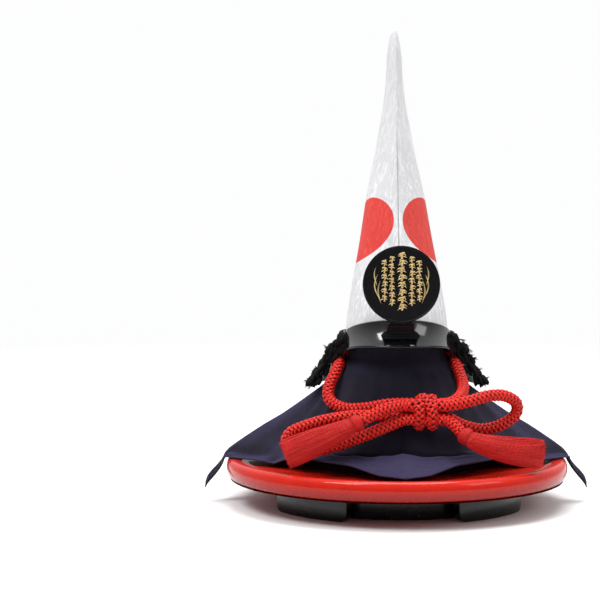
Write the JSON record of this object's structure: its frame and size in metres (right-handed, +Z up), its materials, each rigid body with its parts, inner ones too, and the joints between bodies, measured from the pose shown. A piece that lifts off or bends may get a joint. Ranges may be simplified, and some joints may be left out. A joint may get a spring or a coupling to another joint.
{
  "type": "kabuto helmet on lacquered display stand",
  "caption": "Tall ridged silver kabuto helmet with visor, round crest, laced neck guard and tied red chin cord, on a cloth covered core and a round footed tray.",
  "frame": {"origin": "on the floor under the centre of the round tray", "axes": "+Z up, the helmet faces -Y, +X to the right as seen from the front"},
  "size_m": [0.338, 0.3, 0.42],
  "materials": {
    "silver_leaf": "crinkled silver leaf with a painted red sun on each side",
    "black_lacquer": "gloss black lacquer",
    "crest_lacquer": "satin black lacquer with raised gold",
    "vermilion_lacquer": "gloss vermilion lacquer",
    "black_lacing": "flat braided silk",
    "red_cord": "thick round silk braid",
    "navy_cloth": "plain weave",
    "core_board": "plain board, hidden by the cloth"
  },
  "bodies": {
    "root": {"helmet_cap": "silver_leaf", "helmet_visor": "black_lacquer", "crest_disc": "crest_lacquer", "crest_holder": "black_lacquer", "neck_lame_1": "black_lacquer", "neck_lame_2": "black_lacquer", "neck_lame_3": "black_lacquer", "neck_lame_4": "black_lacquer", "neck_lame_5": "black_lacquer", "neck_lacing_1": "black_lacing", "neck_lacing_2": "black_lacing", "neck_lacing_3": "black_lacing", "neck_lacing_4": "black_lacing", "neck_lacing_5": "black_lacing", "cord_chin_left": "red_cord", "cord_chin_right": "red_cord", "cord_loop_left": "red_cord", "cord_loop_right": "red_cord", "cord_tail_left": "red_cord", "cord_tail_right": "red_cord", "bow_knot": "red_cord", "tassel_left": "red_cord", "tassel_right": "red_cord", "display_cloth": "navy_cloth", "display_core": "core_board", "display_tray": "vermilion_lacquer", "tray_foot_ring": "black_lacquer", "tray_foot_1": "black_lacquer", "tray_foot_2": "black_lacquer", "tray_foot_3": "black_lacquer", "tray_foot_4": "black_lacquer"}
  },
  "joints": []
}
